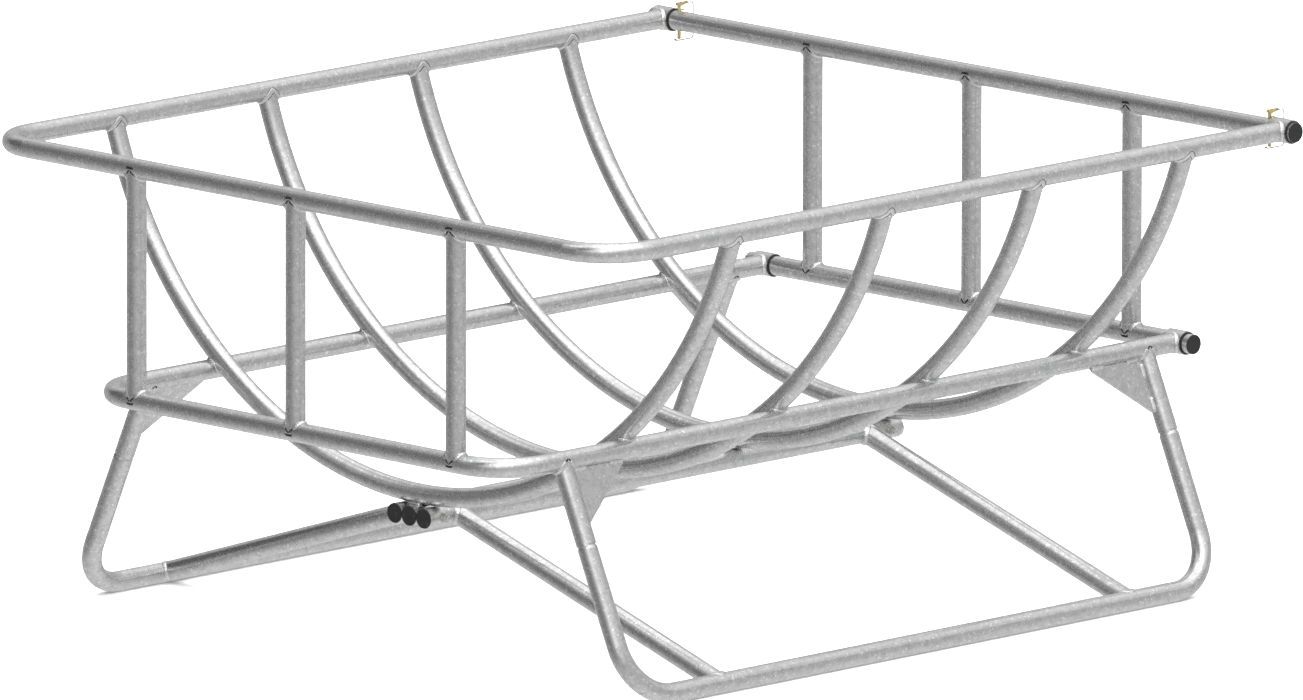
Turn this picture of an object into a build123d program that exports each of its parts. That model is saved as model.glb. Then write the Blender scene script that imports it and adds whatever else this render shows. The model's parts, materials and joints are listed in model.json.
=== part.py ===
from build123d import *

import os
from math import atan2, cos, degrees, hypot, sin

# A round bale feeder of galvanised steel tube. +X runs from the closed end to the gate end, +Y to the left and
# +Z up. The origin is on the ground, under the middle of the feeder. All lengths are in millimetres.

# Stock
TUBE_OD = 42.2
TUBE_WALL = 2.1
TUBE_R = TUBE_OD / 2
TUBE_ID = TUBE_OD - 2 * TUBE_WALL
BEND_RADIUS = 114.3
WELD_GAP = 0.25  # root gap between a coped tube end and the tube that it is welded to

# Frame
ROW_LENGTH = 1991.0  # axis of the closed end to axis of the gate
TOP_HALF_WIDTH = 904.0
BOTTOM_HALF_WIDTH = 603.5
RUNNER_HALF_WIDTH = 812.0
TOP_Z = 979.0
BOTTOM_Z = TOP_Z - 488.0
RUNNER_Z = TUBE_R
BASE_CENTRE = 1027.0  # distance of the base's and hoops' middle from the closed end's axis
PICKET_PITCH = 467.0

# Cradle and spine
HOOP_COUNT = 4
HOOP_PITCH = 444.0
HOOP_DROP = 668.0
HOOP_RADIUS = (TOP_HALF_WIDTH**2 + HOOP_DROP**2) / (2 * HOOP_DROP)  # through both rails and the lowest point
HOOP_CENTRE_Z = TOP_Z - HOOP_DROP + HOOP_RADIUS
SPINE_LENGTH = 1394.0
SPINE_PITCH = TUBE_OD + 0.3
SPINE_Z = TOP_Z - HOOP_DROP - TUBE_OD - 0.3

# Legs, gussets and braces
LEG_SPACING = 1716.0
BRACE_SPACING = 1209.0
SOCKET_LENGTH = 180.0  # from the bottom rail's axis, down along the leg
NECK_GAP = 3.0
SHOULDER_LENGTH = 7.0
SPIGOT_LENGTH = 65.0
SPIGOT_R = TUBE_ID / 2 - 0.2
GUSSET_THICKNESS = 4.8
GUSSET_ALONG_RAIL = 166.0
GUSSET_ALONG_LEG = 137.0
GUSSET_CLIP = 6.5

# Spine bolts
BOLT_SPACING = 1320.0
BOLT_R = 5.0
BOLT_HOLE_R = 5.5
BOLT_FLANGE_R = 10.2
BOLT_FLANGE_T = 2.2
HEX_ACROSS_FLATS = 15.0
NUT_HEX_HEIGHT = 8.0
HEAD_HEX_HEIGHT = 6.5
THREAD_OVERHANG = 6.0

# Gate
SLEEVE_OD = 50.8
SLEEVE_ID = 46.6
SLEEVE_LENGTH = 50.8
LINER_OD = SLEEVE_ID - 0.1
LINER_ID = TUBE_OD + 0.6
LINER_PROUD = 3.0
GATE_TOP_OVERHANG = 7.3
GATE_BOTTOM_OVERHANG = 18.1
CAP_FLANGE_R = 20.7
CAP_FLANGE_T = 3.0
CAP_EDGE_RADIUS = 1.6
CAP_PLUG_LENGTH = 18.0
CAP_WALL = 2.0

# Lock pins, measured from the gate bar's axis
PIN_INSET = 15.0  # pin axis to the sleeve's inner face
PIN_R = 4.0
PIN_HOLE_R = 4.5
PIN_TIP = -39.5
PIN_HEAD_BOTTOM = 33.5
PIN_HEAD_TOP = 38.5
PIN_HEAD_R = 7.5
PIN_DISH_R = 4.5
PIN_DISH_DEPTH = 1.2
PIN_STOP_BOTTOM = 21.5
PIN_STOP_TOP = 24.0
PIN_STOP_REACH = 14.0
EAR_LENGTH = 24.0
EAR_TOP = 39.8
EAR_TIP_HALF = 2.3
EAR_THICKNESS = 5.0
PIVOT_X = 19.0
PIVOT_Z = 37.5
WIRE_R = 1.25
BAIL_OFFSET = -5.6  # the wire runs beside the ear and the pin
BAIL_REACH = 36.5
BAIL_BOTTOM = -40.5
BAIL_HOOK = -12.0
BAIL_BEND_RADIUS = 8.0

# Places worked out from the above
CLOSED_X = (TUBE_R - ROW_LENGTH - BAIL_REACH - WIRE_R) / 2
GATE_X = CLOSED_X + ROW_LENGTH
CENTRE_X = CLOSED_X + BASE_CENTRE
PIN_Y = TOP_HALF_WIDTH - SLEEVE_LENGTH / 2 - PIN_INSET
LEG_LEAN = atan2(RUNNER_HALF_WIDTH - BOTTOM_HALF_WIDTH, BOTTOM_Z - RUNNER_Z)
LEG_LENGTH = hypot(RUNNER_HALF_WIDTH - BOTTOM_HALF_WIDTH, BOTTOM_Z - RUNNER_Z)
ENDS = {"rear": -1, "front": 1}
SIDES = {"left": 1, "right": -1}
ACROSS = {"left": 1, "middle": 0, "right": -1}

os.makedirs("parts", exist_ok=True)


def save(piece, node):
    """Label a finished piece and write it as its own node."""
    piece.part.label = node
    export_step(piece.part, f"parts/{node}.step")


def add_straight_tube(start, end, outer_r=TUBE_R, inner_r=TUBE_ID / 2):
    """Add a round tube from start to end to the part in hand."""
    run = Vector(*end) - Vector(*start)
    with BuildSketch(Plane(origin=start, z_dir=run)) as section:
        Circle(outer_r)
        Circle(inner_r, mode=Mode.SUBTRACT)
    extrude(section.sketch, amount=run.length)


def add_swept_tube(path, outer_r=TUBE_R, inner_r=TUBE_ID / 2):
    """Add a bent tube along a path to the part in hand. An inner radius of 0 gives solid wire."""
    with BuildSketch(Plane(path ^ 0)) as section:
        Circle(outer_r)
        if inner_r:
            Circle(inner_r, mode=Mode.SUBTRACT)
    sweep(section.sketch, path=path)


def cope(axis, *points, radius=TUBE_R):
    """Cut the part in hand back to the tubes that lie along X or Y through the given points."""
    turn = {"X": (0, 90, 0), "Y": (90, 0, 0)}[axis]
    with Locations(*points):
        Cylinder(radius + WELD_GAP, 4 * TUBE_OD, rotation=turn, mode=Mode.SUBTRACT)


def leg_plane(side, x):
    """Plane of a leg, its origin where the leg's axis meets the bottom rail's, x along the rail, y up the leg."""
    return Plane(
        origin=(x, side * BOTTOM_HALF_WIDTH, BOTTOM_Z),
        x_dir=(1, 0, 0),
        z_dir=(0, -cos(LEG_LEAN), -side * sin(LEG_LEAN)),
    )


# ---- Basket -------------------------------------------------------------------------------------------------


def build_rail(half_width, height):
    """A rail: one tube bent into a U, its two ends coped to the gate sleeves."""
    with BuildPart() as rail:
        with BuildLine(Plane.XY.offset(height)) as run:
            FilletPolyline(
                (GATE_X, half_width),
                (CLOSED_X, half_width),
                (CLOSED_X, -half_width),
                (GATE_X, -half_width),
                radius=BEND_RADIUS,
            )
        add_swept_tube(run.line)
        cope("Y", (GATE_X, half_width, height), (GATE_X, -half_width, height), radius=SLEEVE_OD / 2)
    return rail


save(build_rail(TOP_HALF_WIDTH, TOP_Z), "top_rail")
save(build_rail(BOTTOM_HALF_WIDTH, BOTTOM_Z), "bottom_rail")

# Each sleeve is lined with a plastic bush that stands proud at both ends.
for level, half_width, height in (("top", TOP_HALF_WIDTH, TOP_Z), ("bottom", BOTTOM_HALF_WIDTH, BOTTOM_Z)):
    for side_name, side in SIDES.items():
        for name, outer_r, inner_r, length in (
            ("sleeve", SLEEVE_OD / 2, SLEEVE_ID / 2, SLEEVE_LENGTH),
            ("liner", LINER_OD / 2, LINER_ID / 2, SLEEVE_LENGTH + 2 * LINER_PROUD),
        ):
            inner_end = side * half_width - length / 2
            with BuildPart() as collar:
                add_straight_tube(
                    (GATE_X, inner_end, height),
                    (GATE_X, inner_end + length, height),
                    outer_r=outer_r,
                    inner_r=inner_r,
                )
            save(collar, f"{name}_{level}_{side_name}")

for prefix, x in (("end_picket", CLOSED_X), ("gate_picket", GATE_X)):
    for place, step in ACROSS.items():
        foot = (x, step * PICKET_PITCH, BOTTOM_Z)
        head = (x, step * PICKET_PITCH, TOP_Z)
        with BuildPart() as picket:
            add_straight_tube(foot, head)
            cope("Y", foot, head)
        save(picket, f"{prefix}_{place}")

# A hoop is one arc from rail to rail. It is notched where it crosses the inside of the bottom rail.
hoop_half_angle = degrees(atan2(TOP_HALF_WIDTH, HOOP_CENTRE_Z - TOP_Z))
for index in range(HOOP_COUNT):
    x = CENTRE_X + (index - (HOOP_COUNT - 1) / 2) * HOOP_PITCH
    with BuildPart() as hoop:
        with BuildLine(Plane.YZ.offset(x)) as arc:
            CenterArc((0, HOOP_CENTRE_Z), HOOP_RADIUS, -90 - hoop_half_angle, 2 * hoop_half_angle)
        add_swept_tube(arc.line)
        for side in SIDES.values():
            cope("X", (x, side * TOP_HALF_WIDTH, TOP_Z), (x, side * BOTTOM_HALF_WIDTH, BOTTOM_Z))
    save(hoop, f"hoop_{index + 1}")

# The spine tube lies under the hoops, between the two side tubes of the base.
for node, step in (("spine_tube", 0), ("side_tube_left", 1), ("side_tube_right", -1)):
    y = step * SPINE_PITCH
    with BuildPart() as long_tube:
        add_straight_tube(
            (CENTRE_X - SPINE_LENGTH / 2, y, SPINE_Z),
            (CENTRE_X + SPINE_LENGTH / 2, y, SPINE_Z),
        )
        with Locations(*[(CENTRE_X + end * BOLT_SPACING / 2, y, SPINE_Z) for end in ENDS.values()]):
            Cylinder(BOLT_HOLE_R, 2 * TUBE_OD, rotation=(90, 0, 0), mode=Mode.SUBTRACT)
    save(long_tube, node)

for end_name, end in ENDS.items():
    leg_x = CENTRE_X + end * LEG_SPACING / 2
    for side_name, side in SIDES.items():
        plane = leg_plane(side, leg_x)
        with BuildPart() as socket:
            add_straight_tube(plane.from_local_coords((0, -SOCKET_LENGTH, 0)), plane.origin)
            cope("X", plane.origin)
        save(socket, f"leg_socket_{end_name}_{side_name}")

        # The gusset fills the corner between rail and socket, towards the middle of the feeder.
        inboard = -end
        edge = TUBE_R + WELD_GAP
        with BuildPart() as gusset:
            with BuildSketch(plane):
                with BuildLine():
                    Polyline(
                        (inboard * edge, -edge),
                        (inboard * GUSSET_ALONG_RAIL, -edge),
                        (inboard * GUSSET_ALONG_RAIL, -edge - GUSSET_CLIP),
                        (inboard * (edge + GUSSET_CLIP), -GUSSET_ALONG_LEG),
                        (inboard * edge, -GUSSET_ALONG_LEG),
                        close=True,
                    )
                make_face()
            extrude(amount=GUSSET_THICKNESS / 2, both=True)
        save(gusset, f"gusset_{end_name}_{side_name}")

# ---- Base ---------------------------------------------------------------------------------------------------

# A skid is one tube: two uprights and the runner between them. The swaged upper ends push into the sockets.
shoulder_start = -SOCKET_LENGTH - NECK_GAP - SHOULDER_LENGTH
neck_start = shoulder_start + SHOULDER_LENGTH
spigot_top = neck_start + NECK_GAP + SPIGOT_LENGTH
for side_name, side in SIDES.items():
    plane = leg_plane(side, CENTRE_X)
    with BuildPart() as skid:
        with BuildLine(plane) as run:
            FilletPolyline(
                (-LEG_SPACING / 2, shoulder_start),
                (-LEG_SPACING / 2, -LEG_LENGTH),
                (LEG_SPACING / 2, -LEG_LENGTH),
                (LEG_SPACING / 2, shoulder_start),
                radius=BEND_RADIUS,
            )
        add_swept_tube(run.line)
        for end in ENDS.values():
            leg_x = end * LEG_SPACING / 2
            with BuildSketch(plane) as swage:
                with BuildLine():
                    Polyline(
                        (leg_x + TUBE_ID / 2, shoulder_start),
                        (leg_x + TUBE_R, shoulder_start),
                        (leg_x + TUBE_R - 0.6, shoulder_start + 0.5 * SHOULDER_LENGTH),
                        (leg_x + SPIGOT_R, neck_start),
                        (leg_x + SPIGOT_R, spigot_top),
                        (leg_x + SPIGOT_R - TUBE_WALL, spigot_top),
                        (leg_x + SPIGOT_R - TUBE_WALL, neck_start),
                        close=True,
                    )
                make_face()
            leg_foot = plane.from_local_coords((leg_x, 0, 0))
            revolve(swage.sketch, axis=Axis(leg_foot, plane.y_dir))
    save(skid, f"skid_{side_name}")

    for end_name, end in ENDS.items():
        x = CENTRE_X + end * BRACE_SPACING / 2
        upper = (x, side * SPINE_PITCH, SPINE_Z)
        lower = (x, side * RUNNER_HALF_WIDTH, RUNNER_Z)
        with BuildPart() as brace:
            add_straight_tube(lower, upper)
            cope("X", upper, lower)
        save(brace, f"brace_{end_name}_{side_name}")

# Through bolts, with the head on the left and a flange nut on the right.
spine_face = SPINE_PITCH + TUBE_R + WELD_GAP
for end_name, end in ENDS.items():
    bolt_x = CENTRE_X + end * BOLT_SPACING / 2
    head_plane = Plane(origin=(bolt_x, spine_face, SPINE_Z), z_dir=(0, 1, 0))
    nut_plane = Plane(origin=(bolt_x, -spine_face, SPINE_Z), z_dir=(0, -1, 0))
    nut_height = BOLT_FLANGE_T + NUT_HEX_HEIGHT

    with BuildPart() as bolt:
        with BuildSketch(head_plane):
            Circle(BOLT_FLANGE_R)
        extrude(amount=BOLT_FLANGE_T)
        with BuildSketch(head_plane.offset(BOLT_FLANGE_T)):
            RegularPolygon(HEX_ACROSS_FLATS / 2, 6, major_radius=False)
        extrude(amount=HEAD_HEX_HEIGHT)
        chamfer(bolt.faces().sort_by(Axis.Y)[-1].edges(), 0.8)
        with BuildSketch(head_plane):
            Circle(BOLT_R)
        extrude(amount=-(2 * spine_face + nut_height + THREAD_OVERHANG))
        chamfer(bolt.faces().sort_by(Axis.Y)[0].edges(), 1.0)
    save(bolt, f"bolt_{end_name}")

    with BuildPart() as nut:
        with BuildSketch(nut_plane):
            Circle(BOLT_FLANGE_R)
        extrude(amount=BOLT_FLANGE_T)
        with BuildSketch(nut_plane.offset(BOLT_FLANGE_T)):
            RegularPolygon(HEX_ACROSS_FLATS / 2, 6, major_radius=False)
        extrude(amount=NUT_HEX_HEIGHT)
        chamfer(nut.faces().sort_by(Axis.Y)[0].edges(), 0.8)
        with Locations(nut_plane):
            Hole(BOLT_R + 0.1)
    save(nut, f"nut_{end_name}")


# ---- Caps ---------------------------------------------------------------------------------------------------


def build_cap(mouth):
    """A plastic end cap, a hollow plug with a round-edged flange. The plane is the tube's mouth, facing out."""
    with BuildPart() as cap:
        with BuildSketch(mouth):
            Circle(CAP_FLANGE_R)
        extrude(amount=CAP_FLANGE_T)
        outer_face = cap.faces().sort_by(Axis(mouth.origin, mouth.z_dir))[-1]
        fillet(outer_face.edges(), CAP_EDGE_RADIUS)
        with BuildSketch(mouth) as plug:
            Circle(TUBE_ID / 2 - 0.3)
            Circle(TUBE_ID / 2 - 0.3 - CAP_WALL, mode=Mode.SUBTRACT)
        extrude(amount=-CAP_PLUG_LENGTH)
    return cap


for end_name, end in ENDS.items():
    for place, step in ACROSS.items():
        mouth_x = CENTRE_X + end * SPINE_LENGTH / 2
        mouth = Plane(origin=(mouth_x, step * SPINE_PITCH, SPINE_Z), z_dir=(end, 0, 0))
        save(build_cap(mouth), f"spine_cap_{end_name}_{place}")

# ---- Gate ---------------------------------------------------------------------------------------------------

gate_bars = (
    ("top", TOP_HALF_WIDTH + SLEEVE_LENGTH / 2 + GATE_TOP_OVERHANG, TOP_Z, [PIN_Y, -PIN_Y]),
    ("bottom", BOTTOM_HALF_WIDTH + SLEEVE_LENGTH / 2 + GATE_BOTTOM_OVERHANG, BOTTOM_Z, []),
)
for level, half_length, height, pin_places in gate_bars:
    with BuildPart() as bar:
        add_straight_tube((GATE_X, -half_length, height), (GATE_X, half_length, height))
        for y in pin_places:
            with Locations((GATE_X, y, height)):
                Cylinder(PIN_HOLE_R, 2 * TUBE_OD, mode=Mode.SUBTRACT)
    save(bar, f"gate_{level}_bar")
    for side_name, side in SIDES.items():
        mouth = Plane(origin=(GATE_X, side * half_length, height), z_dir=(0, side, 0))
        save(build_cap(mouth), f"gate_cap_{level}_{side_name}")

for side_name, side in SIDES.items():
    pin_base = Plane(origin=(GATE_X, side * PIN_Y, TOP_Z))
    ear_plane = Plane(origin=pin_base.origin, x_dir=(1, 0, 0), z_dir=(0, -1, 0))

    # The pin has a round head, an ear that carries the bail and a short tab that rests on the bar.
    with BuildPart() as pin:
        with BuildSketch(pin_base.offset(PIN_TIP)):
            Circle(PIN_R)
        extrude(amount=PIN_HEAD_BOTTOM - PIN_TIP)
        chamfer(pin.faces().sort_by(Axis.Z)[0].edges(), 1.5)
        with BuildSketch(pin_base.offset(PIN_HEAD_BOTTOM)):
            Circle(PIN_HEAD_R)
        extrude(amount=PIN_HEAD_TOP - PIN_HEAD_BOTTOM)
        with BuildSketch(ear_plane):
            with BuildLine():
                Polyline(
                    (0, PIN_HEAD_BOTTOM - 2.5),
                    (PIN_R, PIN_HEAD_BOTTOM - 2.5),
                    (EAR_LENGTH, PIVOT_Z - EAR_TIP_HALF),
                    (EAR_LENGTH, EAR_TOP),
                    (0, EAR_TOP),
                    close=True,
                )
            make_face()
            with BuildLine():
                Polyline(
                    (0, PIN_STOP_BOTTOM),
                    (PIN_STOP_REACH, PIN_STOP_BOTTOM),
                    (PIN_STOP_REACH, PIN_STOP_TOP),
                    (0, PIN_STOP_TOP),
                    close=True,
                )
            make_face()
        extrude(amount=EAR_THICKNESS / 2, both=True)
        with Locations((GATE_X + PIVOT_X, side * PIN_Y, TOP_Z + PIVOT_Z)):
            Cylinder(WIRE_R + 0.1, 2 * EAR_THICKNESS, rotation=(90, 0, 0), mode=Mode.SUBTRACT)
        with BuildSketch(pin_base.offset(EAR_TOP)):
            Circle(PIN_DISH_R)
        extrude(amount=PIN_HEAD_TOP - PIN_DISH_DEPTH - EAR_TOP, mode=Mode.SUBTRACT)
    save(pin, f"lock_pin_{side_name}")

    # The bail is one wire. Its upper end turns through the ear, and its lower end hooks round the pin's tip.
    route = [
        (PIVOT_X, EAR_THICKNESS / 2 + 1.0, PIVOT_Z),
        (PIVOT_X, BAIL_OFFSET, PIVOT_Z),
        (BAIL_REACH, BAIL_OFFSET, PIVOT_Z),
        (BAIL_REACH, BAIL_OFFSET, BAIL_BOTTOM),
        (BAIL_HOOK, BAIL_OFFSET, BAIL_BOTTOM),
        (BAIL_HOOK, -BAIL_OFFSET, BAIL_BOTTOM),
        (BAIL_HOOK + 9.0, -BAIL_OFFSET, BAIL_BOTTOM),
    ]
    hook_radius = -BAIL_OFFSET - 0.1
    radii = [2.6, BAIL_BEND_RADIUS, BAIL_BEND_RADIUS, hook_radius, hook_radius]
    with BuildPart() as bail:
        with BuildLine() as wire:
            FilletPolyline(*[Vector(*point) + pin_base.origin for point in route], radius=radii)
        add_swept_tube(wire.line, outer_r=WIRE_R, inner_r=0)
    save(bail, f"pin_bail_{side_name}")
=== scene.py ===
import json
import math

import bmesh
import bpy
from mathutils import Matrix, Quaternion, Vector


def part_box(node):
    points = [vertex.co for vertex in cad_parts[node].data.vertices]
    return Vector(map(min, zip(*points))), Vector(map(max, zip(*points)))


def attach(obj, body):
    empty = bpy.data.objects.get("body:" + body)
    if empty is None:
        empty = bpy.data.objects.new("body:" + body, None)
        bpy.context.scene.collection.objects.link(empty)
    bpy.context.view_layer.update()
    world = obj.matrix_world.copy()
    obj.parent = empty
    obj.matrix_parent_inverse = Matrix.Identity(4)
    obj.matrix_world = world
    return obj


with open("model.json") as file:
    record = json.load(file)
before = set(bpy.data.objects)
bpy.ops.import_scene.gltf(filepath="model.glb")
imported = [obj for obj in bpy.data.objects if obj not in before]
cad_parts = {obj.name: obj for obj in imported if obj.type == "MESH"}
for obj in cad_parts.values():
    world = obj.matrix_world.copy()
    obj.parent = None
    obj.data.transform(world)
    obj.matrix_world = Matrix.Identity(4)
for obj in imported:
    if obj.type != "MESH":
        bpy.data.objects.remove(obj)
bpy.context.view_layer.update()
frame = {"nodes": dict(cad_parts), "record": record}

RECORD = frame["record"]
SLOT_OF = {part["node"]: part["material_slot"] for part in RECORD["subparts"]}
MM = 0.001


# ---- Places, read from the CAD nodes -----------------------------------------------------------------------


def middle(node):
    low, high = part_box(node)
    return (low + high) / 2


def span(node):
    low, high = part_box(node)
    return high - low


TUBE_R = span("end_picket_middle").x / 2
SLEEVE_R = span("sleeve_top_left").x / 2
TOP = middle("gate_top_bar")
BOTTOM = middle("gate_bottom_bar")
GATE_X = TOP.x
CLOSED_X = middle("end_picket_middle").x
TOP_Z = TOP.z
BOTTOM_Z = BOTTOM.z
SPINE = middle("spine_tube")
SPINE_PITCH = middle("side_tube_left").y
RUNNER_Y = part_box("skid_left")[1].y - TUBE_R
RUNNER_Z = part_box("skid_left")[0].z + TUBE_R
TOP_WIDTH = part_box("top_rail")[1].y - TUBE_R
BOTTOM_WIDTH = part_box("bottom_rail")[1].y - TUBE_R
HOOP_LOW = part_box("hoop_1")[0].z + TUBE_R
HOOP_R = (TOP_WIDTH**2 + (TOP_Z - HOOP_LOW) ** 2) / (2 * (TOP_Z - HOOP_LOW))
LEG_LEAN = math.atan2(RUNNER_Y - BOTTOM_WIDTH, BOTTOM_Z - RUNNER_Z)
GUSSET_HALF = 2.4 * MM
SIDES = {"left": 1, "right": -1}
ENDS = {"rear": -1, "front": 1}
X = Vector((1, 0, 0))
Y = Vector((0, 1, 0))
Z = Vector((0, 0, 1))


# ---- Materials ---------------------------------------------------------------------------------------------


def feed(tree, socket, value):
    """Link a socket to another, or give it a plain value."""
    if isinstance(value, bpy.types.NodeSocket):
        tree.links.new(value, socket)
    else:
        socket.default_value = value


def add_node(tree, kind, inputs=None, **settings):
    node = tree.nodes.new(kind)
    for key, value in settings.items():
        setattr(node, key, value)
    for key, value in (inputs or {}).items():
        feed(tree, node.inputs[key], value)
    return node


class Nodes:
    """A short way to write a material's node tree."""

    def __init__(self, name):
        self.material = bpy.data.materials.new(name)
        self.material.use_nodes = True
        self.tree = self.material.node_tree
        self.shader = self.tree.nodes["Principled BSDF"]
        self.place = self.tree.nodes.new("ShaderNodeTexCoord").outputs["Object"]

    def add(self, kind, inputs=None, **settings):
        return add_node(self.tree, kind, inputs, **settings)

    def set(self, **values):
        for key, value in values.items():
            feed(self.tree, self.shader.inputs[key.replace("_", " ")], value)

    def noise(self, scale, detail=3.0, roughness=0.55, distortion=0.0):
        inputs = {"Vector": self.place, "Scale": scale, "Detail": detail}
        inputs |= {"Roughness": roughness, "Distortion": distortion}
        return self.add("ShaderNodeTexNoise", inputs).outputs["Fac"]

    def warped(self, scale, amount):
        """The place, shifted a little by noise, in metres."""
        noise = self.add("ShaderNodeTexNoise", {"Vector": self.place, "Scale": scale, "Detail": 2.0})
        shift = self.add(
            "ShaderNodeVectorMath",
            {0: noise.outputs["Color"], 1: (amount,) * 3, 2: (-amount / 2,) * 3},
            operation="MULTIPLY_ADD",
        ).outputs["Vector"]
        return self.add("ShaderNodeVectorMath", {0: self.place, 1: shift}, operation="ADD").outputs["Vector"]

    def cells(self, scale, place=None):
        """For each cell: the distance from its middle, in cells, and two random greys."""
        inputs = {"Vector": place or self.place, "Scale": scale, "Randomness": 1.0}
        cells = self.add("ShaderNodeTexVoronoi", inputs)
        random = self.add("ShaderNodeSeparateColor", {"Color": cells.outputs["Color"]})
        return cells.outputs["Distance"], random.outputs["Red"], random.outputs["Green"]

    def flakes(self, scale, radius, share):
        """Soft uneven flakes of mixed sizes, one in the middle of a random share of the cells."""
        distance, chance, size = self.cells(scale, self.warped(2.2 * scale, 0.9 / scale))
        edge = self.math("DIVIDE", distance, self.spread(size, 0.0, 1.0, 0.45, 1.0))
        flake = self.spread(edge, radius * 0.3, radius, 1.0, 0.0)
        return self.math("MULTIPLY", flake, self.spread(chance, 1.0 - share, 1.0 - share * 0.5, 0.0, 1.0))

    def spread(self, value, low, high, to_low, to_high):
        """The value, with the range low to high mapped to to_low to to_high, and clamped there."""
        return self.add(
            "ShaderNodeMapRange",
            {"Value": value, "From Min": low, "From Max": high, "To Min": to_low, "To Max": to_high},
        ).outputs["Result"]

    def math(self, operation, a, b):
        return self.add("ShaderNodeMath", {0: a, 1: b}, operation=operation).outputs[0]

    def ramp(self, value, *stops):
        """A colour for the value, from stops of position and colour."""
        node = self.add("ShaderNodeValToRGB", {"Fac": value})
        ramp = node.color_ramp
        while len(ramp.elements) < len(stops):
            ramp.elements.new(0.5)
        for element, (position, colour) in zip(ramp.elements, stops):
            element.position = position
            element.color = (*colour, 1.0)
        return node.outputs["Color"]

    def mixed(self, first, second, share):
        """first blended with the plain colour second, by share."""
        node = self.add("ShaderNodeMixRGB", {"Fac": share, "Color1": first, "Color2": (*second, 1.0)})
        return node.outputs["Color"]

    def bump(self, height, strength, distance):
        normal = self.add("ShaderNodeBump", {"Height": height, "Strength": strength, "Distance": distance})
        feed(self.tree, self.shader.inputs["Normal"], normal.outputs["Normal"])


def grey(value, tint=(1.0, 1.0, 1.0)):
    return tuple(value * t for t in tint)


def galvanised(name, tone=0.61, speck=0.90, rough=0.24):
    """Hot-dip galvanising: a grey with soft clouds, fine crystals and small bright flakes."""
    m = Nodes(name)
    clouds = m.noise(70.0, detail=4.0, roughness=0.6, distortion=0.4)
    fine = m.noise(260.0, detail=3.0, roughness=0.6)
    crystals = m.cells(240.0)[1]
    small, large = m.flakes(125.0, 0.46, 0.62), m.flakes(75.0, 0.40, 0.42)
    flakes = m.math("MAXIMUM", small, m.math("MULTIPLY", large, 0.85))
    blend = m.math("ADD", m.math("MULTIPLY", clouds, 0.70), m.math("MULTIPLY", fine, 0.20))
    blend = m.math("ADD", blend, m.math("MULTIPLY", crystals, 0.10))
    base = m.ramp(
        blend,
        (0.40, grey(tone * 0.90, (0.99, 1.0, 1.01))),
        (0.50, grey(tone)),
        (0.60, grey(tone * 1.09, (1.0, 1.0, 0.995))),
    )
    m.set(
        Base_Color=m.mixed(base, grey(speck), flakes),
        Metallic=0.94,
        Roughness=m.spread(blend, 0.36, 0.64, rough + 0.05, rough - 0.04),
    )
    m.bump(m.math("ADD", fine, m.math("MULTIPLY", flakes, 0.6)), 0.045, 0.0004)
    return m.material


def plastic(name):
    """Matt black moulded plastic with a faint grain and pale scuffs."""
    m = Nodes(name)
    grain = m.noise(900.0, detail=2.0)
    scuffs = m.spread(m.noise(60.0, detail=5.0, roughness=0.7), 0.60, 0.78, 0.0, 1.0)
    m.set(
        Base_Color=m.ramp(scuffs, (0.0, grey(0.014)), (1.0, grey(0.040))),
        Roughness=m.spread(scuffs, 0.0, 1.0, 0.50, 0.70),
        Metallic=0.0,
        Specular_IOR_Level=0.28,
    )
    m.bump(grain, 0.18, 0.0003)
    return m.material


def zinc(name, low, high, rough):
    """A thin zinc plate, a little uneven in colour."""
    m = Nodes(name)
    patches = m.noise(240.0, detail=3.0)
    m.set(
        Base_Color=m.ramp(patches, (0.35, low), (0.65, high)),
        Roughness=m.spread(m.noise(500.0), 0.3, 0.7, rough - 0.05, rough + 0.08),
        Metallic=0.85,
    )
    m.bump(m.noise(1200.0, detail=2.0), 0.1, 0.0002)
    return m.material


def seam(name):
    """Painted shade: the near-black of the unwelded stretch at the end of a bead, where the open gap would be
    shaded.
    """
    m = Nodes(name)
    m.set(
        Base_Color=m.ramp(m.noise(700.0), (0.3, grey(0.006)), (0.7, grey(0.020))),
        Roughness=m.spread(m.noise(400.0), 0.3, 0.7, 0.75, 0.95),
        Metallic=0.0,
        Specular_IOR_Level=0.1,
    )
    return m.material


def floor_finish(name):
    """Pale matt floor paint."""
    m = Nodes(name)
    m.set(
        Base_Color=m.ramp(m.noise(3.0), (0.3, grey(0.93)), (0.7, grey(0.95))),
        Roughness=m.spread(m.noise(8.0), 0.3, 0.7, 0.88, 0.95),
        Metallic=0.0,
    )
    return m.material


FINISH = {
    "galvanised_steel": galvanised("galvanised"),
    "black_plastic": plastic("black_plastic"),
    "bolt_steel": zinc("bolt_zinc", (0.50, 0.50, 0.49), (0.72, 0.72, 0.70), 0.34),
    "pin_zinc": zinc("yellow_zinc", (0.60, 0.47, 0.20), (0.82, 0.70, 0.40), 0.34),
    "spring_wire": zinc("bright_wire", (0.22, 0.215, 0.20), (0.34, 0.33, 0.31), 0.32),
}
WELD = galvanised("galvanised_weld", tone=0.68, speck=0.84, rough=0.22)
# The open seam finish is painted shade: near-black strips laid where seams, slots and grooves would be
# shaded.
SHADE_STRIP = seam("painted_shade_open_seam")

for node, thing in frame["nodes"].items():
    for slot in thing.material_slots:
        slot.material = FINISH[SLOT_OF[node]]
    if not thing.material_slots:
        thing.data.materials.append(FINISH[SLOT_OF[node]])


# ---- Weld beads and open seams -----------------------------------------------------------------------------

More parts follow.
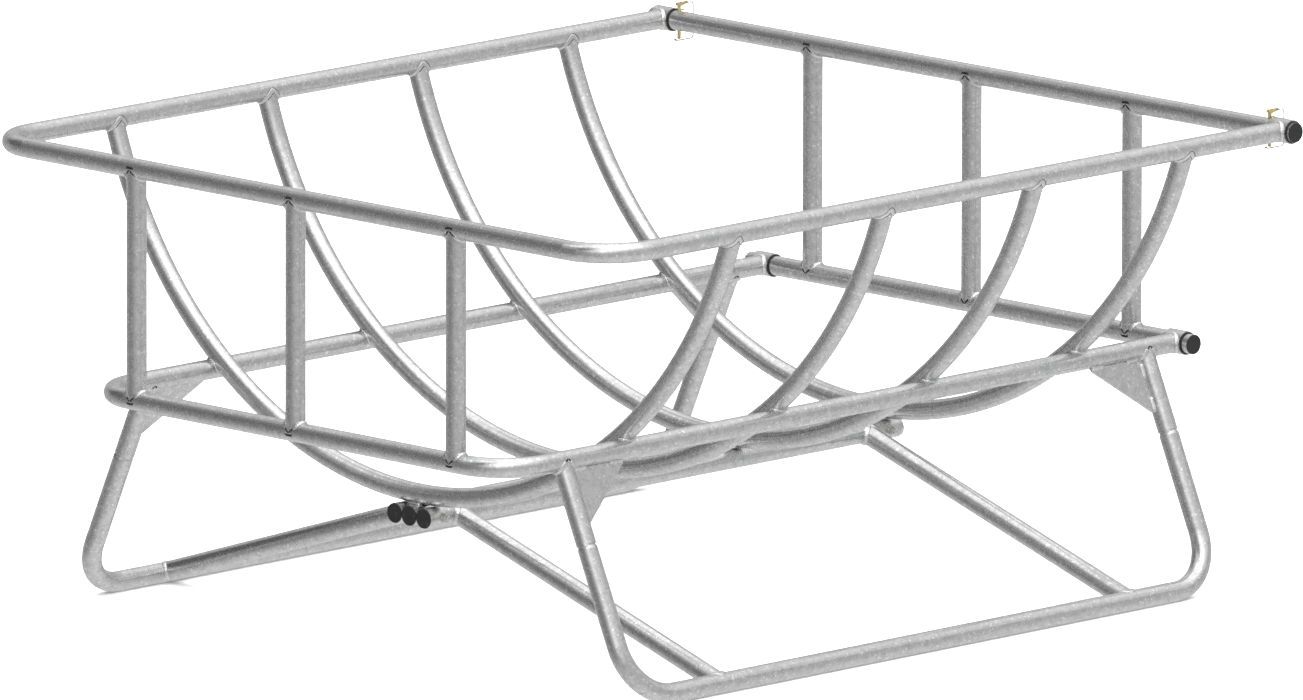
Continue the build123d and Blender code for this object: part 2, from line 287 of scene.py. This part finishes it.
BEAD_LEG = 5.5 * MM
BEAD_CROWN = 0.9 * MM  # how far a bead's face bulges
RIPPLE = 0.35 * MM
RIPPLE_PITCH = 4.0 * MM
SINK = 1.2 * MM  # how far a bead's back is inside the bars
SECTION = 7  # points across a bead's face
SEAM_HALF = 1.8 * MM
SEAM_LIFT = 0.04 * MM  # the strips of painted shade lie this far above the metal
SEAM_DEPTH = 0.8 * MM
EDGE_HALF = 0.6 * MM
SLOT_HALF_LENGTH = 10.5 * MM
SLOT_HALF_WIDTH = 2.5 * MM
RING_STEPS = 120

# Beads that differ from the usual one: leg on the branch, reach on the main bar, crown.
CROSSING_BEAD = {"leg": 4 * MM, "crown": 0.4 * MM}
BRACE_TOP_BEAD = {"leg": 8 * MM, "reach": 6 * MM, "crown": 1.2 * MM}
SLEEVE_BEAD = {"leg": 7 * MM, "reach": 3.8 * MM, "crown": 1.1 * MM}


class Bar:
    """A round bar or tube: a point on its axis, its direction and its radius."""

    def __init__(self, point, direction, radius=TUBE_R):
        self.point = Vector(point)
        self.direction = Vector(direction).normalized()
        self.radius = radius

    def across(self, p):
        """The vector from the axis to p."""
        d = p - self.point
        return d - self.direction * d.dot(self.direction)

    def on_surface(self, p, lift=0.0):
        off = self.across(p)
        return p - off + off.normalized() * (self.radius + lift)


class Joint:
    """Two bars that meet: a main bar, and a branch that ends on it or crosses it."""

    def __init__(self, main, branch, side=X, crossing=False):
        self.main = main
        self.branch = branch
        self.pull = Vector() if crossing else branch.direction
        self.side = (side - branch.direction * side.dot(branch.direction)).normalized()

    def saddle(self, angle):
        """Where a line on the branch's surface meets the main bar."""
        main, branch = self.main, self.branch
        normal = self.side * math.cos(angle) + branch.direction.cross(self.side) * math.sin(angle)
        foot = branch.point + normal * branch.radius
        off = main.across(foot)
        slope = branch.direction - main.direction * branch.direction.dot(main.direction)
        a = slope.dot(slope)
        b = 2 * off.dot(slope)
        c = off.dot(off) - main.radius**2
        root = max(b * b - 4 * a * c, 0.0)
        return foot + branch.direction * ((-b + math.sqrt(root)) / (2 * a))

    def soft_saddle(self, angle):
        """The same, with the kink at the saddle's peak rounded off."""
        near = [self.saddle(angle + step) for step in (-0.12, -0.06, 0.0, 0.06, 0.12)]
        return self.branch.on_surface(sum(near, Vector()) / len(near))

    def crossing(self, angle):
        """A point of the oval where a branch that lies beside the main bar cuts into it."""
        gap = self.branch.point - self.main.point
        distance = gap.length
        low, high = distance - self.branch.radius, self.main.radius
        height = (high + low) / 2 + (high - low) / 2 * math.cos(2 * angle)
        reach = math.sqrt(max(self.main.radius**2 - height**2, 0.0))
        width = math.sqrt(max(self.branch.radius**2 - (height - distance) ** 2, 0.0))
        return (
            self.main.point
            + gap.normalized() * height
            + self.branch.direction * math.copysign(reach, math.sin(angle))
            + self.main.direction * math.copysign(width, math.cos(angle))
        )

    def frame_at(self, root, tangent):
        """Directions away from the joint: along the branch's surface, and along the main bar's."""
        main_normal = self.main.across(root).normalized()
        branch_normal = self.branch.across(root).normalized()
        up = tangent.cross(branch_normal).normalized()
        if up.dot(main_normal + self.pull) < 0:
            up = -up
        out = tangent.cross(main_normal).normalized()
        if out.dot(branch_normal - self.pull) < 0:
            out = -out
        return up, out


def sweep_sections(mesh, sections, closed=False):
    """Join cross-sections into a skin, with a cap on each end where it isn't a ring."""
    rows = [[mesh.verts.new(p) for p in section] for section in sections]
    count = len(rows)
    for i in range(count if closed else count - 1):
        a, b = rows[i], rows[(i + 1) % count]
        for j in range(len(a)):
            k = (j + 1) % len(a)
            mesh.faces.new((a[j], a[k], b[k], b[j]))
    if not closed:
        mesh.faces.new(rows[0][::-1])
        mesh.faces.new(rows[-1])


def with_tangents(points, closed):
    """Each point of a line, with the line's direction there."""
    count = len(points)
    for i, point in enumerate(points):
        ahead = points[(i + 1) % count] if closed else points[min(i + 1, count - 1)]
        behind = points[i - 1] if closed or i else points[0]
        yield point, (ahead - behind).normalized()


def end_taper(n, last, start, rise):
    """1 along a bead and less towards its ends. n is the section's number, from 0 to last."""
    return min(1.0, start + rise * min(n, last - n))


def ripple(distance):
    """The height of the bead's ripple, that far along it."""
    return RIPPLE * math.sin(distance / RIPPLE_PITCH * 2 * math.pi)


def add_bead(mesh, joint, roots, closed=True, leg=BEAD_LEG, reach=None, crown=BEAD_CROWN, phase=0.0):
    """A fillet bead along the roots. leg is its height on the branch and reach its width on the main bar."""
    reach = reach or leg
    sections = []
    travelled = phase
    last = roots[0]
    for n, (root, tangent) in enumerate(with_tangents(roots, closed)):
        travelled += (root - last).length
        last = root
        up, out = joint.frame_at(root, tangent)
        taper = 1.0 if closed else end_taper(n, len(roots) - 1, 0.35, 0.22)
        bulge = (crown + ripple(travelled)) * taper
        top = joint.branch.on_surface(root + up * leg * taper)
        toe = joint.main.on_surface(root + out * reach * taper)
        hump = (up + out).normalized() if (up + out).length > 0.2 else joint.main.across(root).normalized()
        steps = [i / (SECTION - 1) for i in range(SECTION)]
        face = [top.lerp(toe, t) + hump * (bulge * math.sin(math.pi * t)) for t in steps]
        back = [toe - hump * SINK * 0.6, root - hump * SINK, top - hump * SINK * 0.6]
        sections.append(face + back)
    sweep_sections(mesh, sections, closed)


def add_seam_shade(mesh, joint, roots):
    """A thin strip of painted shade in the corner between two bars, where the bead leaves it open."""
    sections = []
    for n, (root, tangent) in enumerate(with_tangents(roots, False)):
        up, out = joint.frame_at(root, tangent)
        width = SEAM_HALF * end_taper(n, len(roots) - 1, 0.3, 0.25)
        top = joint.branch.on_surface(root + up * width, SEAM_LIFT)
        toe = joint.main.on_surface(root + out * width, SEAM_LIFT)
        back = joint.main.on_surface(root, -SEAM_DEPTH)
        sections.append([top, toe, back])
    sweep_sections(mesh, sections)


def add_bead_edge_shade(mesh, joint, angles):
    """Two thin strips of painted shade that follow a bead's upper and lower edge, where its undercut would be
    shaded.
    """
    skirt, ridge, depth = 0.05 * MM, 0.3 * MM, 0.6 * MM
    roots = [joint.soft_saddle(angle) for angle in angles]
    for bar, which in ((joint.branch, 0), (joint.main, 1)):
        sections = []
        for root, tangent in with_tangents(roots, False):
            way = joint.frame_at(root, tangent)[which]
            centre = root + way * BEAD_LEG
            edge = [bar.on_surface(centre - way * EDGE_HALF, skirt), bar.on_surface(centre, ridge)]
            edge += [bar.on_surface(centre + way * EDGE_HALF, skirt), bar.on_surface(centre, -depth)]
            sections.append(edge)
        sweep_sections(mesh, sections)


def add_vent_slot_shade(mesh, rail, centre, outward, along):
    """A short strip of painted shade where a vent slot opens in a rail's face, with its ends turned a little
    towards the branch.
    """
    across = rail.direction.cross(outward).normalized()
    if across.dot(along) < 0:
        across = -across
    sections = []
    for t in (-1.0, -0.75, -0.4, 0.4, 0.75, 1.0):
        bend = max(0.0, abs(t) - 0.6) ** 2 * 6.0
        p = centre + rail.direction * (SLOT_HALF_LENGTH * t) + across * (SLOT_HALF_WIDTH * bend)
        w = across * SLOT_HALF_WIDTH * (1.0 - bend / 2)
        section = [rail.on_surface(p - w, SEAM_LIFT), rail.on_surface(p, 2 * SEAM_LIFT)]
        section += [rail.on_surface(p + w, SEAM_LIFT), rail.on_surface(p, -SEAM_DEPTH)]
        sections.append(section)
    sweep_sections(mesh, sections)


def finish_mesh(mesh, name, body, material):
    """Turn a bmesh into a smooth piece that rides on a body."""
    bmesh.ops.recalc_face_normals(mesh, faces=mesh.faces)
    data = bpy.data.meshes.new(name)
    mesh.to_mesh(data)
    mesh.free()
    for face in data.polygons:
        face.use_smooth = True
    thing = bpy.data.objects.new(name, data)
    bpy.context.scene.collection.objects.link(thing)
    data.materials.append(material)
    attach(thing, body)


def turn(start, end, steps):
    """Angles from start to end, both included."""
    return [start + (end - start) * i / steps for i in range(steps + 1)]


def ring():
    """Angles all the way round, for a closed bead."""
    return [2 * math.pi * i / RING_STEPS for i in range(RING_STEPS)]


PICKETS = ("left", "middle", "right")

# Angles round the branch from a saddle's peak, in radians: the bead starts at OPEN_HALF, and the seam runs
# from SEAM_START to SEAM_REACH, so that the bead covers its end.
OPEN_HALF = 0.50
SEAM_START = 0.03
SEAM_REACH = 0.66
SLOT_OFFSET = 4.5 * MM  # from the rail's axis, away from the picket
NO_SLOT = ("gate_picket_left", "gate_picket_middle")  # at the bottom only


def picket_welds(where, body, x, nodes):
    """Each picket has a bead on either side of each joint, and at its peaks painted shade for an open seam
    and a vent slot.
    """
    beads, shade_strips = bmesh.new(), bmesh.new()
    for number, node in enumerate(nodes):
        y = middle(node).y
        for height, direction in ((TOP_Z, -Z), (BOTTOM_Z, Z)):
            rail = Bar((x, 0, height), Y)
            joint = Joint(rail, Bar((x, y, height), direction))
            for start in (0.0, math.pi):
                angles = turn(start + OPEN_HALF, start + math.pi - OPEN_HALF, 44)
                add_bead(beads, joint, [joint.saddle(a) for a in angles], closed=False, phase=number * MM)
                for way in (1, -1):
                    arm = turn(start + SEAM_START * way, start + SEAM_REACH * way, 14)
                    add_seam_shade(shade_strips, joint, [joint.saddle(a) for a in arm])
                if direction.z > 0 and node in NO_SLOT:
                    continue
                outward = X * math.cos(start)
                centre = Vector((x, y, height)) + outward * TUBE_R - direction * SLOT_OFFSET
                add_vent_slot_shade(shade_strips, rail, rail.on_surface(centre), outward, direction)
    finish_mesh(beads, f"welds_{where}", body, WELD)
    # The second piece is painted shade: near-black strips where the open seams and vent slots would be
    # shaded.
    finish_mesh(shade_strips, f"seams_{where}", body, SHADE_STRIP)


picket_welds("end_pickets", "basket", CLOSED_X, [f"end_picket_{p}" for p in PICKETS])
picket_welds("gate_pickets", "gate", GATE_X, [f"gate_picket_{p}" for p in PICKETS])


HOOPS = 4
HOOP_TOP_BACK = 20 * MM  # the top joint's straight bar touches the hoop this far before the rail
EDGE_REACH = 0.9  # radians to each side that the painted-shade edges follow a top bead
FOOT_HALF_LENGTH = 13 * MM
FOOT_STEPS = 20


def hoop_bar(x, side, angle):
    """The hoop's axis as a straight bar, at that angle from its lowest point, pointing down the hoop."""
    point = (x, side * HOOP_R * math.sin(angle), HOOP_LOW + HOOP_R * (1 - math.cos(angle)))
    return Bar(point, (0, -side * math.cos(angle), -math.sin(angle)))


def hoop_welds():
    """Each hoop's beads: at the top rails, at the bottom rails that it crosses, and at the spine tube; and
    painted shade along the top beads' edges.
    """
    tops, crossings, feet, shade_strips = (bmesh.new() for _ in range(4))
    hoop_centre = HOOP_LOW + HOOP_R
    top_angle = math.atan2(TOP_WIDTH, hoop_centre - TOP_Z) - HOOP_TOP_BACK / HOOP_R
    low_angle = math.atan2(BOTTOM_WIDTH, hoop_centre - BOTTOM_Z)
    for number in range(1, HOOPS + 1):
        x = middle(f"hoop_{number}").x
        for side in SIDES.values():
            rail = Bar((x, side * TOP_WIDTH, TOP_Z), X)
            joint = Joint(rail, hoop_bar(x, side, top_angle))
            add_bead(tops, joint, [joint.soft_saddle(a) for a in ring()], phase=number * MM)
            for start in (math.pi / 2, -math.pi / 2):
                add_bead_edge_shade(shade_strips, joint, turn(start - EDGE_REACH, start + EDGE_REACH, 26))
            rail = Bar((x, side * BOTTOM_WIDTH, BOTTOM_Z), X)
            joint = Joint(rail, hoop_bar(x, side, low_angle), crossing=True)
            roots = [joint.crossing(a) for a in ring()]
            add_bead(crossings, joint, roots, phase=number * MM, **CROSSING_BEAD)
        add_contact_fillets(feet, x)
    finish_mesh(tops, "welds_hoop_tops", "basket", WELD)
    finish_mesh(crossings, "welds_hoop_crossings", "basket", WELD)
    finish_mesh(feet, "welds_hoop_feet", "basket", WELD)
    # This piece is painted shade along the top beads' edges.
    finish_mesh(shade_strips, "seams_hoop_tops", "basket", SHADE_STRIP)


def add_contact_fillets(mesh, x):
    """Fillets on both sides of a hoop, where it lies on the spine tube."""
    for way in (1, -1):
        sections = []
        for n in range(FOOT_STEPS + 1):
            y = FOOT_HALF_LENGTH * (2 * n / FOOT_STEPS - 1)
            spine_z = SPINE.z + math.sqrt(TUBE_R**2 - y**2)
            taper = end_taper(n, FOOT_STEPS, 0.5, 0.2)
            toe = (14.0 + 3.5 * taper) * MM  # distance from the hoop's axis, on the spine tube
            turned = math.radians(28 + 14 * taper)  # up round the hoop, from its lowest line
            top = (TUBE_R * math.sin(turned), HOOP_LOW - TUBE_R * math.cos(turned))
            rows = [(toe, spine_z - 0.1 * MM)]
            for t in (0.25, 0.5, 0.75):
                bulge = (0.8 * MM + ripple(y)) * taper * math.sin(math.pi * t)
                outward = toe + (top[0] - toe) * t + bulge
                rows.append((outward, spine_z + (top[1] - spine_z) * t + bulge * 0.6))
            rows += [top, (top[0] - 5 * MM, top[1] + 0.5 * MM), (toe - 9 * MM, spine_z - 0.8 * MM)]
            sections.append([Vector((x + way * u, y, z)) for u, z in rows])
        sweep_sections(mesh, sections)


hoop_welds()

STITCH_WIDTH = 6.5 * MM
STITCH_CROWN = 1.0 * MM
STITCH_STEPS = 16
# Where the gussets' stitches start and end, in millimetres from the corner of rail and leg.
RAIL_STITCHES = ((25, 62), (128, 166))
LEG_STITCHES = ((30, 63), (103, 137))
# Angles round the leg from a saddle's peak, in radians.
SOCKET_OPEN = 0.30
SOCKET_SEAM = (0.02, 0.42)


def add_stitch(mesh, bar, toward_plate, normal, start, end):
    """A short flat bead on both faces of a plate, whose edge lies along a bar."""
    for face in (1, -1):
        sections = []
        for n in range(STITCH_STEPS + 1):
            taper = end_taper(n, STITCH_STEPS, 0.45, 0.3)
            travelled = (end - start) * n / STITCH_STEPS
            along = bar.point + bar.direction * (start + travelled)
            outward = normal * face
            width = STITCH_WIDTH * taper
            top = along + toward_plate * (TUBE_R + width) + outward * (GUSSET_HALF + 0.1 * MM)
            toe = bar.on_surface(along + toward_plate * TUBE_R + outward * (GUSSET_HALF + width * 0.8))
            hump = (toward_plate + outward).normalized()
            bulge = (STITCH_CROWN + 0.8 * ripple(travelled)) * taper
            rows = []
            for i in range(5):
                t = i / 4
                rows.append(top.lerp(toe, t) + hump * (bulge * math.sin(math.pi * t)))
            rows.append(toe - outward * 2 * MM - toward_plate * 0.8 * MM)
            rows.append(top - outward * 1 * MM)
            sections.append(rows)
        sweep_sections(mesh, sections)


def leg_welds():
    """Sockets on the bottom rail, with painted shade at their open seams, and the gussets' stitches."""
    beads, stitches, shade_strips = bmesh.new(), bmesh.new(), bmesh.new()
    for end_name, end in ENDS.items():
        for side_name, side in SIDES.items():
            x = middle(f"leg_socket_{end_name}_{side_name}").x
            corner = Vector((x, side * BOTTOM_WIDTH, BOTTOM_Z))
            down = Vector((0, side * math.sin(LEG_LEAN), -math.cos(LEG_LEAN)))
            normal = down.cross(X).normalized()
            inboard = X * -end
            rail = Bar(corner, inboard)
            leg = Bar(corner, down)
            joint = Joint(rail, leg)
            for start in (math.pi / 2, -math.pi / 2):
                angles = turn(start + SOCKET_OPEN, start + math.pi - SOCKET_OPEN, 50)
                add_bead(beads, joint, [joint.saddle(a) for a in angles], closed=False)
                for way in (1, -1):
                    arm = turn(start + SOCKET_SEAM[0] * way, start + SOCKET_SEAM[1] * way, 10)
                    add_seam_shade(shade_strips, joint, [joint.saddle(a) for a in arm])
            for start, finish in RAIL_STITCHES:
                add_stitch(stitches, rail, down, normal, start * MM, finish * MM)
            for start, finish in LEG_STITCHES:
                add_stitch(stitches, leg, inboard, normal, start * MM, finish * MM)
    finish_mesh(beads, "welds_leg_sockets", "basket", WELD)
    finish_mesh(stitches, "welds_gussets", "basket", WELD)
    # This piece is painted shade at the sockets' open seams.
    finish_mesh(shade_strips, "seams_leg_sockets", "basket", SHADE_STRIP)


leg_welds()


GROUND_OPEN = 0.6  # radians to each side of a brace's underside that stay unwelded, near the ground


def brace_welds():
    """Each brace is welded to a runner and a side tube. The lower bead is open below, clear of the ground."""
    mesh = bmesh.new()
    for end_name in ENDS:
        for side_name, side in SIDES.items():
            x = middle(f"brace_{end_name}_{side_name}").x
            lower = Vector((x, side * RUNNER_Y, RUNNER_Z))
            upper = Vector((x, side * SPINE_PITCH, SPINE.z))
            joint = Joint(Bar(upper, X), Bar(upper, lower - upper))
            add_bead(mesh, joint, [joint.soft_saddle(a) for a in ring()], **BRACE_TOP_BEAD)
            joint = Joint(Bar(lower, X), Bar(lower, upper - lower))
            bottom = -math.pi / 2 if joint.branch.direction.cross(joint.side).z > 0 else math.pi / 2
            angles = turn(bottom + GROUND_OPEN, bottom + 2 * math.pi - GROUND_OPEN, 100)
            add_bead(mesh, joint, [joint.soft_saddle(a) for a in angles], closed=False)
    finish_mesh(mesh, "welds_braces", "basket", WELD)


brace_welds()


def sleeve_welds():
    """A heavy bead round each rail's end, on its gate sleeve."""
    mesh = bmesh.new()
    for level in ("top", "bottom"):
        for side_name in SIDES:
            centre = middle(f"sleeve_{level}_{side_name}")
            joint = Joint(Bar(centre, Y, SLEEVE_R), Bar(centre, -X), side=Y)
            add_bead(mesh, joint, [joint.saddle(a) for a in ring()], **SLEEVE_BEAD)
    finish_mesh(mesh, "welds_sleeves", "basket", WELD)


sleeve_welds()


# ---- Floor, light and camera -------------------------------------------------------------------------------

FLOOR_SIZE = 60

bpy.ops.mesh.primitive_plane_add(size=FLOOR_SIZE, location=(0, 0, 0))
floor = bpy.context.object
floor.name = "floor"
floor.data.materials.append(floor_finish("floor_paint"))

# The camera: what it looks at, from which side, and how it is held.
TARGET = Vector((CLOSED_X + 1.0257, -0.0132, 0.5236))
AZIMUTH = -45.246
ELEVATION = 11.041
ROLL = math.radians(0.112)
LENS = 900.0  # long, so that the view is almost parallel
DISTANCE = 67.675


def toward(azimuth, elevation):
    """Unit vector from the object towards that azimuth and elevation, in degrees. Azimuth 0 is -Y."""
    a, e = math.radians(azimuth), math.radians(elevation)
    return Vector((math.sin(a) * math.cos(e), -math.cos(a) * math.cos(e), math.sin(e)))


# The studio as the metal sees it: brightness by height, from straight down (-1) to straight up (1).
DOME = (
    (-1.0, 0.85),
    (-0.85, 0.87),
    (-0.6, 0.79),
    (-0.3, 0.65),
    (0.0, 0.57),
    (0.3, 0.53),
    (0.6, 0.90),
    (0.85, 2.03),
    (1.0, 2.35),
)
# Softboxes (bright) and black cards (dark): azimuth, elevation, tightness, brightness.
PANELS = (
    (-60, 40, 12.0, 1.50),
    (85, 62, 15.0, -0.72),
    (-86, 54, 15.0, -2.10),
    (199, 28, 25.0, -1.10),
    (176, 58, 25.0, -1.40),
    (-122, -6, 1.8, -0.40),
)
DARKEST = 0.05
BACKDROP = 1.0  # beyond the floor, the camera sees plain white
DOME_SCALE = 2.5  # keeps the dome's colour stops under 1


def build_studio(world):
    """A dome with soft panels, as a function of direction."""
    world.use_nodes = True
    tree = world.node_tree

    def calculate(operation, a, b=0.0):
        return add_node(tree, "ShaderNodeMath", {0: a, 1: b}, operation=operation).outputs[0]

    direction = add_node(tree, "ShaderNodeTexCoord").outputs["Generated"]
    height = add_node(tree, "ShaderNodeSeparateXYZ", {"Vector": direction}).outputs["Z"]
    fac = calculate("MULTIPLY", calculate("ADD", height, 1.0), 0.5)
    dome = add_node(tree, "ShaderNodeValToRGB", {"Fac": fac})
    dome.color_ramp.interpolation = "EASE"
    while len(dome.color_ramp.elements) < len(DOME):
        dome.color_ramp.elements.new(0.5)
    for element, (z, value) in zip(dome.color_ramp.elements, DOME):
        element.position = (z + 1) / 2
        element.color = (*grey(value / DOME_SCALE), 1.0)
    light = calculate("MULTIPLY", dome.outputs["Color"], DOME_SCALE)
    for azimuth, elevation, tightness, brightness in PANELS:
        pair = {0: direction, 1: toward(azimuth, elevation)}
        facing = add_node(tree, "ShaderNodeVectorMath", pair, operation="DOT_PRODUCT").outputs["Value"]
        lobe = calculate("EXPONENT", calculate("MULTIPLY", calculate("SUBTRACT", facing, 1.0), tightness))
        light = calculate("ADD", light, calculate("MULTIPLY", lobe, brightness))
    light = calculate("MAXIMUM", light, DARKEST)
    seen = add_node(tree, "ShaderNodeLightPath").outputs["Is Camera Ray"]
    inputs = {"Fac": seen, "Color1": light, "Color2": (*grey(BACKDROP), 1.0)}
    backdrop = add_node(tree, "ShaderNodeMixRGB", inputs)
    background = tree.nodes["Background"]
    tree.links.new(backdrop.outputs["Color"], background.inputs["Color"])
    background.inputs["Strength"].default_value = 1.0


def floor_light(azimuth, elevation, width, strength):
    """A broad soft light that only brightens matt surfaces, so the floor comes out white."""
    light = bpy.data.lights.new("floor_wash", "SUN")
    light.angle = math.radians(width)
    light.energy = strength
    thing = bpy.data.objects.new("floor_wash", light)
    bpy.context.scene.collection.objects.link(thing)
    thing.rotation_mode = "QUATERNION"
    thing.rotation_quaternion = (-toward(azimuth, elevation)).to_track_quat("-Z", "Y")
    thing.visible_glossy = False


floor.visible_glossy = False
floor_light(-45, 80, 120, 4.6)

scene = bpy.context.scene
world = bpy.data.worlds.new("studio")
scene.world = world
build_studio(world)

camera_data = bpy.data.cameras.new("camera")
camera_data.lens = LENS
camera_data.sensor_width = 36.0
camera_data.clip_start = 1.0
camera_data.clip_end = 200.0
camera = bpy.data.objects.new("camera", camera_data)
scene.collection.objects.link(camera)
back = toward(AZIMUTH, ELEVATION)
camera.location = TARGET + back * DISTANCE
camera.rotation_mode = "QUATERNION"
camera.rotation_quaternion = (-back).to_track_quat("-Z", "Y") @ Quaternion((0, 0, 1), ROLL)
scene.camera = camera
scene.view_settings.view_transform = "Standard"
